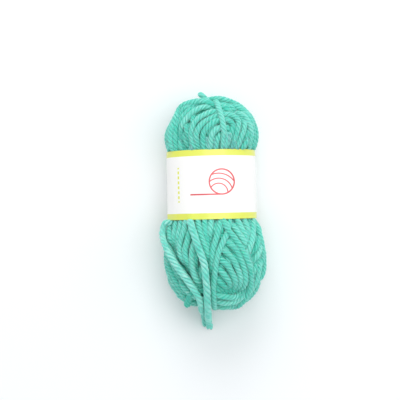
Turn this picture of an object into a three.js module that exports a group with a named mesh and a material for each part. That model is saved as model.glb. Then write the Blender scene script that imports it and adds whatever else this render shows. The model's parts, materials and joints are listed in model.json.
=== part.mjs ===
// A pull-skein ball of plied acrylic yarn in its paper band, lying on its side with its two loose ends out.
// Millimetres. +Z is up and +Y runs along the ball, away from the loose ends. The origin lies on the surface
// that the ball rests on, under the middle of the ball.
import * as THREE from "three";

// Driving sizes
const HALF_LENGTH = 65.3; // from the middle of the ball to either end
const HALF_WIDTH = 30.5; // of the plain egg shape that the turns are laid out on
const HALF_HEIGHT = 27;
const BAND_LOW_Y = -10; // the band's edges along the ball
const BAND_HIGH_Y = 31.8;
const PAPER = 1; // thickness of the band's paper as a solid sheet
const GAP = 0.35; // left between touching pieces
const LOOSE_END = { front: 4.4, side: 4.0 }; // the free ends' thickness: they aren't drawn tight

// The band's oval, constant along its height: the paper is stiff and bends one way only.
const BAND = { middleX: -0.35, middleZ: 27, halfWidth: 27.6, halfHeight: 23.6, squareness: 2.2 };

// The ball's outline, a row for each section along it: how far the yarn reaches to each side, down and up.
const SECTIONS = [
  { y: -65.3, left: 3.0, right: 3.0, low: 25, high: 25 },
  { y: -63.4, left: -15.6, right: 17.6, low: 10, high: 41 },
  { y: -60.1, left: -20.2, right: 22.0, low: 5, high: 46 },
  { y: -54.5, left: -24.6, right: 26.8, low: 1.4, high: 50.6 },
  { y: -47.7, left: -28.2, right: 30.2, low: -0.2, high: 53.6 },
  { y: -38.0, left: -30.6, right: 32.2, low: -0.7, high: 55.6 },
  { y: -28.0, left: -31.4, right: 32.6, low: -0.7, high: 56.0 },
  { y: -19.0, left: -30.0, right: 30.8, low: 0.0, high: 55.0 },
  { y: -12.9, left: -28.8, right: 28.6, low: 2.4, high: 52.4 },
  { y: 34.6, left: -28.6, right: 28.6, low: 2.0, high: 51.6 },
  { y: 41.5, left: -28.4, right: 29.4, low: -0.5, high: 53.0 },
  { y: 47.0, left: -26.8, right: 28.4, low: 0.2, high: 52.4 },
  { y: 53.0, left: -23.8, right: 26.6, low: 3.0, high: 49.6 },
  { y: 58.5, left: -20.4, right: 22.8, low: 7.4, high: 45.4 },
  { y: 62.6, left: -14.8, right: 17.0, low: 13.6, high: 40 },
  { y: 65.3, left: 1.5, right: 1.5, low: 26, high: 26 },
];
const BALL_SQUARENESS = 2.15;

// The windings, in the order in which they were laid, each a fan of turns round the ball's middle. A row gives two
// points that its first turn passes on the upper side, seen from above, and two that its last turn passes.
const WINDINGS = [
  { firstA: [-26, -20], firstB: [-14, 52], lastA: [-4, -20], lastB: [10, 56], bundles: 4, level: 0.6 },
  { firstA: [16, -50], firstB: [24, 30], lastA: [24, -30], lastB: [26, 20], bundles: 2, level: 0.6 },
  { firstA: [-18, 46], firstB: [-8, -40], lastA: [-8, 52], lastB: [6, -44], bundles: 2, level: 0.8 },
  { firstA: [22, -44], firstB: [31, -26], lastA: [25, -54], lastB: [31, -36], bundles: 2, level: 0.8 },
  { firstA: [-17, -52], firstB: [-30, -24], lastA: [-10, -56], lastB: [-26, -18], bundles: 2, level: 1.0 },
  { firstA: [-1, 20], firstB: [14, 54], lastA: [22, 30], lastB: [27, 42], bundles: 4, level: 1.1 },
  { firstA: [0, -58], firstB: [22, -56], lastA: [8, -61], lastB: [24, -52], bundles: 1, level: 1.1 },
  { firstA: [-24, 40], firstB: [-4, 58], lastA: [-20, 34], lastB: [0, 54], bundles: 2, level: 1.2 },
  { firstA: [5, -18], firstB: [6, -52], lastA: [11, -18], lastB: [22, -50], bundles: 4, level: 1.3 },
];
// Single turns that ride on top of the others
const TOP_TURNS = [
  { a: [3.4, 62], b: [7.6, 35], level: 1.9 },
  { a: [8.4, -12], b: [-0.2, -36], level: 1.9 },
  { a: [9.5, -15], b: [21.5, -38], level: 2.0 },
  { a: [25.5, -14], b: [20.4, -31], level: 1.7 },
];
const BASE_BUNDLES = 26; // bundles of turns in the all-over winding beneath
const BASE_TILT = 0.42; // its turns' lean from the ball's length, in radians on the unit sphere
const BASE_RISE = 0.5; // how much higher its last turn lies than its first
const BUNDLE_REACH = 4.4; // half the width of a bundle of turns, which takes in two or three
const TOP_TURN_REACH = 3.6;
const BUNDLE_ROUNDNESS = 1.8; // how far a bundle's crown stands above its furrows
const WOUND_DEPTH = 2.7; // the windings' depth, taken off the outline before they are raised on it
const FADE = 3; // along the ball, over which the turns flatten as they pass under the band

// The loose ends' middle lines, from where they leave the band, over the ball and down its end to the surface that
// it lies on. The front one hangs outside the other and its tip rests on it.
const FRONT_END = [
  [-13.6, -11.7, 52.0],
  [-12.7, -15.2, 54.3],
  [-11.3, -19.8, 56.3],
  [-9.9, -24.3, 57.1],
  [-8.6, -28.4, 57.4],
  [-7.2, -32.6, 57.6],
  [-6.1, -36.4, 57.7],
  [-5.6, -40.4, 57.8],
  [-5.4, -44.4, 57.5],
  [-5.1, -48.2, 56.4],
  [-4.8, -51.7, 54.8],
  [-4.8, -55.2, 53.2],
  [-4.7, -59.1, 51.2],
  [-4.5, -62.9, 48.9],
  [-4.4, -66.2, 45.2],
  [-4.4, -68.4, 40.2],
  [-4.4, -69.8, 34.6],
  [-4.4, -70.7, 28.6],
  [-4.3, -71.4, 22.6],
  [-4.2, -72.3, 16.6],
  [-4.1, -73.6, 11.6],
  [-3.9, -75.6, 8.3],
  [-3.6, -78.0, 6.6],
  [-3.2, -80.7, 6.0],
];
const SIDE_END = [
  [-29.3, -11.8, 35.4],
  [-30.5, -14.4, 34.7],
  [-31.2, -18.0, 35.7],
  [-30.6, -21.7, 39.2],
  [-29.3, -25.4, 43.2],
  [-27.8, -28.8, 45.8],
  [-26.0, -32.1, 47.8],
  [-24.0, -35.4, 49.7],
  [-21.8, -38.7, 51.0],
  [-19.7, -41.7, 51.9],
  [-17.6, -44.4, 52.5],
  [-15.7, -47.1, 52.8],
  [-14.0, -49.7, 53.0],
  [-12.3, -52.1, 52.8],
  [-10.8, -54.6, 52.0],
  [-9.6, -57.0, 50.8],
  [-8.9, -59.6, 49.3],
  [-8.5, -62.0, 47.0],
  [-8.3, -64.0, 43.8],
  [-8.1, -65.2, 39.5],
  [-7.9, -66.0, 34.5],
  [-7.7, -66.8, 29.5],
  [-7.5, -67.2, 24.0],
  [-7.3, -67.6, 18.0],
  [-7.2, -68.3, 12.0],
  [-7.1, -69.6, 7.2],
  [-6.9, -71.8, 3.8],
  [-6.6, -74.4, 2.3],
  [-6.2, -77.0, 2.1],
  [-5.6, -79.6, 2.1],
];

const COLOURS = { yarn: 0x68c8b5, paper: 0xfbf9f5 };

// A cubic through the sections' values that bends no more than they need. Sections are spaced by latitude, so that
// the ends close round.
const latitude = (y) => Math.asin(THREE.MathUtils.clamp(y / HALF_LENGTH, -1, 1));
const SECTION_LATITUDES = SECTIONS.map((section) => latitude(section.y));
function slopeAt(index, column) {
  const before = Math.max(index - 1, 0);
  const after = Math.min(index + 1, SECTIONS.length - 1);
  return (SECTIONS[after][column] - SECTIONS[before][column]) / (SECTION_LATITUDES[after] - SECTION_LATITUDES[before]);
}
function sectionValue(lat, column) {
  let index = SECTION_LATITUDES.findIndex((edge) => edge > lat) - 1;
  if (index < 0) index = SECTIONS.length - 2;
  const span = SECTION_LATITUDES[index + 1] - SECTION_LATITUDES[index];
  const t = THREE.MathUtils.clamp((lat - SECTION_LATITUDES[index]) / span, 0, 1);
  const from = SECTIONS[index][column];
  const to = SECTIONS[index + 1][column];
  const fromSlope = slopeAt(index, column) * span;
  const toSlope = slopeAt(index + 1, column) * span;
  return (
    (2 * t ** 3 - 3 * t ** 2 + 1) * from +
    (t ** 3 - 2 * t ** 2 + t) * fromSlope +
    (3 * t ** 2 - 2 * t ** 3) * to +
    (t ** 3 - t ** 2) * toSlope
  );
}

// How far a rounded square of unit size reaches in a direction
const ovalReach = (angle, squareness) =>
  (Math.abs(Math.cos(angle)) ** squareness + Math.abs(Math.sin(angle)) ** squareness) ** (-1 / squareness);

// A point on the unit sphere above a place seen from above, in millimetres
function onSphere([x, y]) {
  const across = x / HALF_WIDTH;
  const along = y / HALF_LENGTH;
  return new THREE.Vector3(across, along, Math.sqrt(Math.max(0, 1 - across ** 2 - along ** 2)));
}

// A turn is a great circle of the unit sphere. Its reach is half the width that it covers, in millimetres.
function turnRound(normal, reach, level) {
  const stretch = Math.hypot(normal.x / HALF_WIDTH, normal.y / HALF_LENGTH, normal.z / HALF_HEIGHT);
  return { normal, stretch, reach, crown: level + BUNDLE_ROUNDNESS };
}
const turnThrough = (a, b, reach, level) => turnRound(onSphere(a).cross(onSphere(b)).normalize(), reach, level);

function baseTurns() {
  return Array.from({ length: BASE_BUNDLES }, (_, k) => {
    const share = k / BASE_BUNDLES;
    const phase = share * 2 * Math.PI;
    const normal = new THREE.Vector3(
      Math.cos(BASE_TILT) * Math.cos(phase),
      -Math.sin(BASE_TILT),
      Math.cos(BASE_TILT) * Math.sin(phase),
    );
    return turnRound(normal, BUNDLE_REACH, share * BASE_RISE);
  });
}

function windingTurns(winding) {
  const mix = (from, to, t) => [from[0] + (to[0] - from[0]) * t, from[1] + (to[1] - from[1]) * t];
  return Array.from({ length: winding.bundles }, (_, k) => {
    const t = winding.bundles > 1 ? k / (winding.bundles - 1) : 0;
    const a = mix(winding.firstA, winding.lastA, t);
    const b = mix(winding.firstB, winding.lastB, t);
    return turnThrough(a, b, BUNDLE_REACH, winding.level);
  });
}

const TURNS = [
  ...baseTurns(),
  ...WINDINGS.flatMap(windingTurns),
  ...TOP_TURNS.map(({ a, b, level }) => turnThrough(a, b, TOP_TURN_REACH, level)),
];

// How far the uppermost turn at a point of the unit sphere stands above the windings' floor
function turnHeight(point) {
  let height = 0;
  for (const { normal, stretch, reach, crown } of TURNS) {
    const off = Math.abs(point.dot(normal)) / stretch / reach;
    if (off < 1) height = Math.max(height, crown * (1 - off ** 3));
  }
  return height;
}

// The rows of the ball's net lie at even latitudes, but for those that meet the band's edges and shoulders.
const AROUND = 104;
const ALONG = 50;
const PINNED_ROWS = [-12.9, BAND_LOW_Y - GAP, BAND_HIGH_Y + GAP, 34.6];
function rowPlaces() {
  const rows = Array.from({ length: ALONG + 1 }, (_, row) => HALF_LENGTH * Math.cos((Math.PI * row) / ALONG));
  for (const y of PINNED_ROWS) {
    const nearest = rows.reduce((best, row, k) => (Math.abs(row - y) < Math.abs(rows[best] - y) ? k : best), 0);
    rows[nearest] = y;
  }
  return rows;
}

// The wound yarn: the ball's outline with its turns raised on it, drawn in under the band and flat underneath
function woundYarn() {
  const geometry = new THREE.SphereGeometry(1, AROUND, ALONG);
  const position = geometry.getAttribute("position");
  const rows = rowPlaces();
  const point = new THREE.Vector3();
  for (let i = 0; i < position.count; i++) {
    const row = Math.floor(i / (AROUND + 1));
    const y = rows[row];
    const lat = latitude(y);
    point.fromBufferAttribute(position, i);
    const angle = Math.atan2(point.z, point.x);
    const round = Math.cos(lat);
    point.set(round * Math.cos(angle), Math.sin(lat), round * Math.sin(angle));

    const banded = y > BAND_LOW_Y - GAP - 0.01 && y < BAND_HIGH_Y + GAP + 0.01;
    if (banded) {
      const reach = ovalReach(angle, BAND.squareness);
      const inset = PAPER + GAP;
      position.setXYZ(
        i,
        BAND.middleX + (BAND.halfWidth - inset) * reach * Math.cos(angle),
        y,
        BAND.middleZ + (BAND.halfHeight - inset) * reach * Math.sin(angle),
      );
      continue;
    }
    const left = sectionValue(lat, "left");
    const right = sectionValue(lat, "right");
    const low = sectionValue(lat, "low");
    const high = sectionValue(lat, "high");
    const reach = ovalReach(angle, BALL_SQUARENESS);
    const outward = new THREE.Vector3(point.x / HALF_WIDTH, point.y / HALF_LENGTH, point.z / HALF_HEIGHT).normalize();
    const fromBand = Math.min(Math.abs(y - BAND_LOW_Y), Math.abs(y - BAND_HIGH_Y));
    const raised = (turnHeight(point) - WOUND_DEPTH) * THREE.MathUtils.smoothstep(fromBand, 0, FADE);
    const x = (left + right) / 2 + ((right - left) / 2) * reach * Math.cos(angle) + raised * outward.x;
    const z = (low + high) / 2 + ((high - low) / 2) * reach * Math.sin(angle) + raised * outward.z;
    position.setXYZ(i, x, y + raised * outward.y, Math.max(0, z));
  }
  return geometry;
}

// The paper band: an oval sleeve round the ball's waist
function paperBand() {
  const oval = (inset) =>
    Array.from({ length: 72 }, (_, k) => {
      const angle = (k / 72) * 2 * Math.PI;
      const reach = ovalReach(angle, BAND.squareness);
      const x = BAND.middleX + (BAND.halfWidth - inset) * reach * Math.cos(angle);
      const z = BAND.middleZ + (BAND.halfHeight - inset) * reach * Math.sin(angle);
      return new THREE.Vector2(x, z);
    });
  const outline = new THREE.Shape(oval(0));
  outline.holes.push(new THREE.Path(oval(PAPER)));
  const geometry = new THREE.ExtrudeGeometry(outline, { depth: BAND_HIGH_Y - BAND_LOW_Y, bevelEnabled: false });
  return geometry.rotateX(Math.PI / 2).translate(0, BAND_HIGH_Y, 0);
}

// A free end of yarn, as a round tube through its middle line's points
const END_SIDES = 10;
const END_STEP = 4; // between the tube's rings
function looseEnd(route, thickness) {
  const path = new THREE.CatmullRomCurve3(
    route.map((place) => new THREE.Vector3(...place)),
    false,
    "centripetal",
  );
  const section = Array.from({ length: END_SIDES }, (_, k) => {
    const angle = (k / END_SIDES) * 2 * Math.PI;
    return new THREE.Vector2((thickness / 2) * Math.cos(angle), (thickness / 2) * Math.sin(angle));
  });
  const steps = Math.round(path.getLength() / END_STEP);
  return new THREE.ExtrudeGeometry(new THREE.Shape(section), { steps, extrudePath: path, bevelEnabled: false });
}

function mesh(name, geometry, colour, roughness) {
  const made = new THREE.Mesh(geometry, new THREE.MeshStandardMaterial({ color: colour, roughness, metalness: 0 }));
  made.name = name;
  return made;
}

const ball = new THREE.Group();
ball.add(mesh("wound_yarn", woundYarn(), COLOURS.yarn, 0.95));
ball.add(mesh("paper_band", paperBand(), COLOURS.paper, 0.45));
ball.add(mesh("front_loose_end", looseEnd(FRONT_END, LOOSE_END.front), COLOURS.yarn, 0.95));
ball.add(mesh("side_loose_end", looseEnd(SIDE_END, LOOSE_END.side), COLOURS.yarn, 0.95));

export default ball;
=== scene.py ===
"""A pull-skein ball of plied acrylic yarn in its paper band, lying on its side with its two loose ends out.

Everything is in metres in the row frame: +Y runs along the ball, away from its loose ends, +Z is up, and the
ball rests on z = 0. The yarn is wound here turn by turn on the form of the CAD solid, each turn over the ones
before it.
"""
import json
import logging
import math
from dataclasses import dataclass, field
from enum import Enum

import bpy
import numpy as np
from mathutils import Matrix, Vector, kdtree
from mathutils.bvhtree import BVHTree

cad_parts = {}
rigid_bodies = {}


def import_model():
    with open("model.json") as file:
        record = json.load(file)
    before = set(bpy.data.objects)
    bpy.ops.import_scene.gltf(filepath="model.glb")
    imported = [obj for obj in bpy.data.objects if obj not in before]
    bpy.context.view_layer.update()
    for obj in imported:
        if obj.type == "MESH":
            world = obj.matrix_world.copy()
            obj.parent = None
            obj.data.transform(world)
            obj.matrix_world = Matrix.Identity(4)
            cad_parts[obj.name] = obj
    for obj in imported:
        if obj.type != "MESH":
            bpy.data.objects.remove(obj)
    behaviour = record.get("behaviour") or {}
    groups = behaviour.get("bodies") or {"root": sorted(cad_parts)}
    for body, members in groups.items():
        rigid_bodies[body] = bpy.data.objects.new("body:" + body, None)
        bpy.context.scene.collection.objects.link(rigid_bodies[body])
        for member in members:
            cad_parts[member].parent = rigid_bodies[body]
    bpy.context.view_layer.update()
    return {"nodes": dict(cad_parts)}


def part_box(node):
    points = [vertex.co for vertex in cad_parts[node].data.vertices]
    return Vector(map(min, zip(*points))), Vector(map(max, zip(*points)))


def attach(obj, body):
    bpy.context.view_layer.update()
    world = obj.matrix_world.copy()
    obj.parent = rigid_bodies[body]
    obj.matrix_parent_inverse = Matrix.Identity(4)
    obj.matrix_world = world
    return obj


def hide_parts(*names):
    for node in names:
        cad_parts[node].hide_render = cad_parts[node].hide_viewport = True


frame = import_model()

MM = 0.001
log = logging.getLogger("yarn_ball")

Polyline = tuple[tuple[float, ...], ...]
StrandPath = tuple[np.ndarray, float, np.ndarray]  # a strand's middle line, its radius, and where it is seen


def srgb(code: str) -> tuple[float, float, float, float]:
    """Turns a colour's sRGB hex code into linear values.

    Args:
        code: six hex digits, such as "68c8b5".

    Returns:
        Red, green, blue and an alpha of 1, all linear.
    """
    channels = [int(code[k : k + 2], 16) / 255 for k in (0, 2, 4)]
    linear = [c / 12.92 if c <= 0.04045 else ((c + 0.055) / 1.055) ** 2.4 for c in channels]
    return (*linear, 1.0)


def unit(vectors: np.ndarray) -> np.ndarray:
    """Scales vectors to unit length.

    Args:
        vectors: an array whose last axis holds the components.

    Returns:
        The same array with each vector one long.
    """
    return vectors / np.maximum(np.linalg.norm(vectors, axis=-1, keepdims=True), 1e-12)


def smoothstep(value: np.ndarray) -> np.ndarray:
    """Eases 0 to 1 smoothly: 3t² - 2t³, clamped at both ends."""
    t = np.clip(value, 0, 1)
    return t * t * (3 - 2 * t)


def distances(line: np.ndarray) -> np.ndarray:
    """Gives how far along a polyline each of its corners lies."""
    return np.concatenate([[0], np.cumsum(np.linalg.norm(np.diff(line, axis=0), axis=1))])


def curve_through(points: np.ndarray, per_span: int = 16) -> np.ndarray:
    """Draws a smooth curve through points, as a centripetal Catmull-Rom spline.

    Args:
        points: the places that it passes, one a row.
        per_span: samples between two of them.

    Returns:
        The samples, from the first point to the last.
    """
    ends = np.vstack([2 * points[0] - points[1], points, 2 * points[-1] - points[-2]])
    samples = []
    for k in range(1, len(ends) - 2):
        level = ends[k - 1 : k + 3]
        knots = np.concatenate([[0], np.cumsum(np.linalg.norm(np.diff(level, axis=0), axis=1) ** 0.5)])
        t = np.linspace(knots[1], knots[2], per_span, endpoint=False)[:, None]
        for spans in (((0, 1), (1, 2), (2, 3)), ((0, 2), (1, 3)), ((1, 2),)):
            level = [
                level[j] + (level[j + 1] - level[j]) * (t - knots[low]) / (knots[high] - knots[low])
                for j, (low, high) in enumerate(spans)
            ]
        samples.append(level[0])
    return np.vstack([*samples, points[-1]])


def evenly(line: np.ndarray, step: float, closed: bool = False) -> np.ndarray:
    """Places samples at even distances along a polyline.

    Args:
        line: its corners, one a row. Columns after the third are carried along and don't count as distance.
        step: the distance wanted between samples.
        closed: whether the last corner joins the first.

    Returns:
        The samples. A closed line's first one isn't repeated at its end.
    """
    corners = np.vstack([line, line[:1]]) if closed else line
    along = distances(corners[:, :3])
    count = max(4, round(along[-1] / step))
    places = np.linspace(0, along[-1], count, endpoint=not closed)
    return np.column_stack([np.interp(places, along, corners[:, axis]) for axis in range(corners.shape[1])])


def transported(tangent: np.ndarray, start: np.ndarray) -> np.ndarray:
    """Carries a sideways direction along a line without turning it round the line.

    Args:
        tangent: the line's directions.
        start: roughly the sideways direction at its first point.

    Returns:
        A direction at right angles to the line at each point.
    """
    carried = np.empty_like(tangent)
    current = start
    for k, along in enumerate(tangent):
        current = current - along * (current @ along)
        current = current / np.linalg.norm(current)
        carried[k] = current
    return carried


@dataclass(frozen=True)
class Yarn:
    """Four-ply acrylic yarn with an S twist: on an upright strand its plies lean like the middle of an S."""

    thickness: float = 3.5 * MM  # drawn tight on the ball
    plies: int = 4
    lay: float = 10.0 * MM  # one full turn of a ply round the strand
    ply_profile: tuple[float, ...] = (0.79, 0.955, 1.01, 0.955)  # from hollow to hollow, in strand radii
    fullness: float = 1.09  # how far a soft strand swells into the gaps beside it
    step: float = 1.1 * MM  # between rings of the swept strand

    def ring(self) -> np.ndarray:
        """Gives the points of one ring of the swept strand.

        Returns:
            Their angles and their reaches, in strand radii.
        """
        profile = np.tile(self.ply_profile, self.plies)
        return np.column_stack([np.arange(len(profile)) / len(profile) * 2 * math.pi, profile])


@dataclass
class WoundForm:
    """The outside of the wound yarn as a reach from the ball's middle in every direction, off its CAD node.

    A direction is a point q of the unit sphere, which the ball's half sizes stretch to an egg. The reach is 1
    on that egg and follows the CAD solid everywhere else, with its raised bundles smoothed away.
    """

    node: str = "wound_yarn"
    heart: float = 27 * MM  # how high over the ground the middle is
    rows: int = 90
    columns: int = 180
    smoothing: float = 2.6 * MM
    smoothed_rows: int = 2  # passes along the ball
    edge: float = 0.985  # how far out a place can be found from above
    middle: np.ndarray = field(init=False)
    half: np.ndarray = field(init=False)
    reach: np.ndarray = field(init=False)

    def __post_init__(self) -> None:
        """Casts a ray to the CAD solid's wall in every direction and smooths what they find."""
        low, high = (np.array(corner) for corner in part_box(self.node))
        self.middle = (low + high) / 2
        self.middle[2] = self.heart
        self.half = (high - low) / 2
        solid = frame["nodes"][self.node]
        tree = BVHTree.FromObject(solid, bpy.context.evaluated_depsgraph_get())
        latitudes = np.linspace(-math.pi / 2, math.pi / 2, self.rows + 1)
        longitudes = np.arange(self.columns) / self.columns * 2 * math.pi
        self.reach = np.ones((self.rows + 1, self.columns))
        for i, latitude in enumerate(latitudes):
            for j, longitude in enumerate(longitudes):
                ray = self.direction(latitude, longitude) * self.half
                length = float(np.linalg.norm(ray))
                hit = tree.ray_cast(Vector(self.middle), Vector(ray / length))
                self.reach[i, j] = hit[3] / length if hit[3] else 1.0
        self._smooth(latitudes)

    @staticmethod
    def direction(latitude: np.ndarray | float, longitude: np.ndarray | float) -> np.ndarray:
        """Gives the unit sphere's point at a latitude and longitude, with its poles on Y."""
        latitude, longitude = np.broadcast_arrays(latitude, longitude)
        round_y = np.cos(latitude)
        return np.stack([round_y * np.cos(longitude), np.sin(latitude), round_y * np.sin(longitude)], axis=-1)

    def _smooth(self, latitudes: np.ndarray) -> None:
        """Blurs the reach round each row and then along the ball.

        Args:
            latitudes: the rows' latitudes.
        """
        waves = np.fft.rfftfreq(self.columns) * 2 * math.pi
        narrowest = 0.02  # of the ball's girth, for the rows at its poles
        for i, latitude in enumerate(latitudes):
            cell = 2 * math.pi / self.columns * self.half[0] * max(math.cos(latitude), narrowest)
            spread = min(self.smoothing / cell, self.columns)
            blurred = np.fft.rfft(self.reach[i]) * np.exp(-0.5 * (spread * waves) ** 2)
            self.reach[i] = np.fft.irfft(blurred, self.columns)
        self.reach[0] = self.reach[0].mean()
        self.reach[-1] = self.reach[-1].mean()
        for _ in range(self.smoothed_rows):
            self.reach[1:-1] = 0.25 * self.reach[:-2] + 0.5 * self.reach[1:-1] + 0.25 * self.reach[2:]

    def reach_at(self, q: np.ndarray) -> np.ndarray:
        """Looks the reach up between the grid's points.

        Args:
            q: directions, one a row.

        Returns:
            The reach in each.
        """
        row = (np.arcsin(np.clip(q[:, 1], -1, 1)) / math.pi + 0.5) * self.rows
        column = (np.arctan2(q[:, 2], q[:, 0]) / (2 * math.pi)) % 1 * self.columns
        low_row = np.clip(row.astype(int), 0, self.rows - 1)
        low_column = column.astype(int) % self.columns
        next_column = (low_column + 1) % self.columns
        up, over = row - low_row, column - column.astype(int)
        lower = self.reach[low_row, low_column] * (1 - over) + self.reach[low_row, next_column] * over
        upper = self.reach[low_row + 1, low_column] * (1 - over) + self.reach[low_row + 1, next_column] * over
        return lower * (1 - up) + upper * up

    def surface(self, q: np.ndarray) -> np.ndarray:
        """Gives the form's surface points in the directions q."""
        return self.middle + self.reach_at(q)[:, None] * q * self.half

    def outward(self, q: np.ndarray) -> np.ndarray:
        """Gives the outward directions at the form's surface points in the directions q."""
        return unit(q / self.half)

    def from_above(self, x: float, y: float) -> np.ndarray:
        """Finds the direction of the surface point on the upper side that is seen from above at a place.

        Args:
            x: across the ball, in metres.
            y: along the ball, in metres.

        Returns:
            The direction. A place off the ball's edge gives the nearest one on it.
        """
        reach = 1.0
        tries = 10
        for _ in range(tries):
            flat = np.array([x - self.middle[0], y - self.middle[1]]) / self.half[:2] / reach
            flat *= min(1, self.edge / max(float(np.linalg.norm(flat)), 1e-9))
            q = np.array([flat[0], flat[1], math.sqrt(1 - flat @ flat)])
            reach = float(self.reach_at(q[None])[0])
        return q


@dataclass(frozen=True)
class Run:
    """Neighbouring strands on the upper side, as seen from above, in millimetres.

    first and last are the routes of the two outermost, and count strands are laid evenly from one to the
    other. before and after are how far each goes on, straight, beyond its route's ends, before it dives under
    the others.
    """

    name: str
    first: Polyline
    last: Polyline = ()
    count: int = 1
    size: float = 1.0  # thickness against the other strands
    before: float = 9
    after: float = 9
    lift: float = 0.0  # how much prouder than the others they stand

    def routes(self, samples: int = 40) -> list[np.ndarray]:
        """Gives each strand's route.

        Args:
            samples: points of each.

        Returns:
            The routes, from first to last.
        """
        sides = []
        for corners in (self.first, self.last or self.first):
            side = evenly(curve_through(np.array(corners, float)), 1.0)
            wanted, known = np.linspace(0, 1, samples), np.linspace(0, 1, len(side))
            sides.append(np.column_stack([np.interp(wanted, known, side[:, axis]) for axis in (0, 1)]))
        return [sides[0] + (sides[1] - sides[0]) * (k / max(self.count - 1, 1)) for k in range(self.count)]


ROUND_THE_END = 88  # from the upper side over the ball's end and along its underside to the band

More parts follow.
